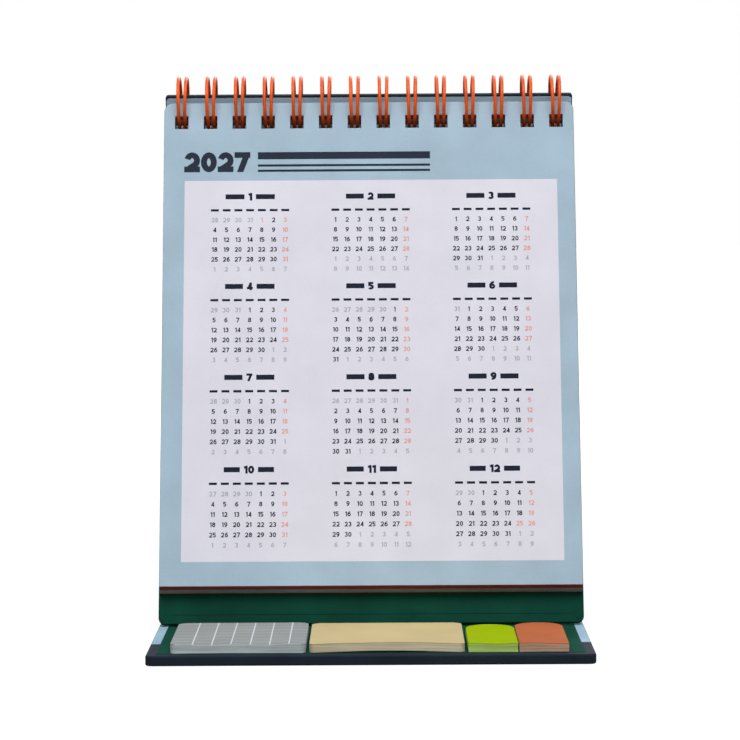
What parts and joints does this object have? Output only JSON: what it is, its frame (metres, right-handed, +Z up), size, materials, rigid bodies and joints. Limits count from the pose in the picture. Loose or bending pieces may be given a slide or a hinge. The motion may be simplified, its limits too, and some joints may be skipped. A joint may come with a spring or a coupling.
{
  "type": "desk calendar",
  "caption": "Tent desk calendar: leaves on twin-loop wire, covered front and back boards, and a base board with sticky notes; the stand folds flat and the leaves turn.",
  "frame": {"origin": "middle of the base's underside, on the desk", "axes": "+Z up, front of the calendar towards -Y, +X to the right seen from the front"},
  "size_m": [0.121, 0.1449, 0.1601],
  "materials": {
    "greyboard": "raw grey board",
    "navy_cover_paper": "matt laminated covering paper",
    "green_cover_paper": "matt uncoated covering paper",
    "blue_lining_paper": "matt lining paper",
    "copper_wire": "copper orange enamelled steel wire",
    "year_leaf_card": "smooth uncoated card",
    "month_leaf_card": "smooth uncoated card",
    "grey_note_paper": "uncoated note paper",
    "cream_note_paper": "uncoated note paper",
    "lime_flag_paper": "uncoated flag paper",
    "terracotta_flag_paper": "uncoated flag paper"
  },
  "bodies": {
    "base": {"base_core": "greyboard", "base_wrap": "navy_cover_paper", "base_liner": "green_cover_paper", "base_side_linings": "blue_lining_paper", "grid_note_pad": "grey_note_paper", "cream_note_pad": "cream_note_paper", "green_flag_pad": "lime_flag_paper", "terracotta_flag_pad": "terracotta_flag_paper"},
    "back": {"back_core": "greyboard", "back_wrap": "navy_cover_paper", "back_liner": "blue_lining_paper", "wire_comb": "copper_wire"},
    "front": {"front_core": "greyboard", "front_wrap": "green_cover_paper", "front_liner": "green_cover_paper"},
    "year_leaf": {"year_leaf": "year_leaf_card"},
    "month_leaf_01": {"month_leaf_01": "month_leaf_card"},
    "month_leaf_02": {"month_leaf_02": "month_leaf_card"},
    "month_leaf_03": {"month_leaf_03": "month_leaf_card"},
    "month_leaf_04": {"month_leaf_04": "month_leaf_card"},
    "month_leaf_05": {"month_leaf_05": "month_leaf_card"},
    "month_leaf_06": {"month_leaf_06": "month_leaf_card"},
    "month_leaf_07": {"month_leaf_07": "month_leaf_card"},
    "month_leaf_08": {"month_leaf_08": "month_leaf_card"},
    "month_leaf_09": {"month_leaf_09": "month_leaf_card"},
    "month_leaf_10": {"month_leaf_10": "month_leaf_card"},
    "month_leaf_11": {"month_leaf_11": "month_leaf_card"},
    "month_leaf_12": {"month_leaf_12": "month_leaf_card"},
    "grid_note_sheet": {"grid_note_sheet": "grey_note_paper"},
    "cream_note_sheet": {"cream_note_sheet": "cream_note_paper"},
    "green_flag_sheet": {"green_flag_sheet": "lime_flag_paper"},
    "terracotta_flag_sheet": {"terracotta_flag_sheet": "terracotta_flag_paper"}
  },
  "joints": [
    {"name": "back_fold", "type": "hinge", "parent": "base", "child": "back", "pos_m": [0, 0.0725, 0], "axis": [-1, 0, 0], "range_deg": [0, 104.5]},
    {"name": "front_close", "type": "hinge", "parent": "back", "child": "front", "pos_m": [0, 0.02443, 0.1519], "axis": [1, 0, 0], "range_deg": [0, 32.5]},
    {"name": "month_leaf_12_turn", "type": "hinge", "parent": "front", "child": "month_leaf_12", "pos_m": [0, 0.02443, 0.1519], "axis": [-1, 0, 0], "range_deg": [0, 3]},
    {"name": "month_leaf_11_turn", "type": "hinge", "parent": "month_leaf_12", "child": "month_leaf_11", "pos_m": [0, 0.02443, 0.1519], "axis": [-1, 0, 0], "range_deg": [0, 3]},
    {"name": "month_leaf_10_turn", "type": "hinge", "parent": "month_leaf_11", "child": "month_leaf_10", "pos_m": [0, 0.02443, 0.1519], "axis": [-1, 0, 0], "range_deg": [0, 3]},
    {"name": "month_leaf_09_turn", "type": "hinge", "parent": "month_leaf_10", "child": "month_leaf_09", "pos_m": [0, 0.02443, 0.1519], "axis": [-1, 0, 0], "range_deg": [0, 3]},
    {"name": "month_leaf_08_turn", "type": "hinge", "parent": "month_leaf_09", "child": "month_leaf_08", "pos_m": [0, 0.02443, 0.1519], "axis": [-1, 0, 0], "range_deg": [0, 3]},
    {"name": "month_leaf_07_turn", "type": "hinge", "parent": "month_leaf_08", "child": "month_leaf_07", "pos_m": [0, 0.02443, 0.1519], "axis": [-1, 0, 0], "range_deg": [0, 3]},
    {"name": "month_leaf_06_turn", "type": "hinge", "parent": "month_leaf_07", "child": "month_leaf_06", "pos_m": [0, 0.02443, 0.1519], "axis": [-1, 0, 0], "range_deg": [0, 3]},
    {"name": "month_leaf_05_turn", "type": "hinge", "parent": "month_leaf_06", "child": "month_leaf_05", "pos_m": [0, 0.02443, 0.1519], "axis": [-1, 0, 0], "range_deg": [0, 3]},
    {"name": "month_leaf_04_turn", "type": "hinge", "parent": "month_leaf_05", "child": "month_leaf_04", "pos_m": [0, 0.02443, 0.1519], "axis": [-1, 0, 0], "range_deg": [0, 3]},
    {"name": "month_leaf_03_turn", "type": "hinge", "parent": "month_leaf_04", "child": "month_leaf_03", "pos_m": [0, 0.02443, 0.1519], "axis": [-1, 0, 0], "range_deg": [0, 3]},
    {"name": "month_leaf_02_turn", "type": "hinge", "parent": "month_leaf_03", "child": "month_leaf_02", "pos_m": [0, 0.02443, 0.1519], "axis": [-1, 0, 0], "range_deg": [0, 3]},
    {"name": "month_leaf_01_turn", "type": "hinge", "parent": "month_leaf_02", "child": "month_leaf_01", "pos_m": [0, 0.02443, 0.1519], "axis": [-1, 0, 0], "range_deg": [0, 3]},
    {"name": "year_leaf_turn", "type": "hinge", "parent": "month_leaf_01", "child": "year_leaf", "pos_m": [0, 0.02443, 0.1519], "axis": [-1, 0, 0], "range_deg": [0, 90]},
    {"name": "grid_note_sheet_lift", "type": "hinge", "parent": "base", "child": "grid_note_sheet", "pos_m": [0, -0.0299, 0.005], "axis": [-1, 0, 0], "range_deg": [0, 75]},
    {"name": "cream_note_sheet_lift", "type": "hinge", "parent": "base", "child": "cream_note_sheet", "pos_m": [0, -0.0313, 0.005], "axis": [-1, 0, 0], "range_deg": [0, 75]},
    {"name": "green_flag_sheet_lift", "type": "hinge", "parent": "base", "child": "green_flag_sheet", "pos_m": [0, -0.0349, 0.005], "axis": [-1, 0, 0], "range_deg": [0, 75]},
    {"name": "terracotta_flag_sheet_lift", "type": "hinge", "parent": "base", "child": "terracotta_flag_sheet", "pos_m": [0, -0.0319, 0.005], "axis": [-1, 0, 0], "range_deg": [0, 75]}
  ],
  "couplings": [
    {"joint": "front_close", "follows": "back_fold", "ratio": 0.31099}
  ]
}
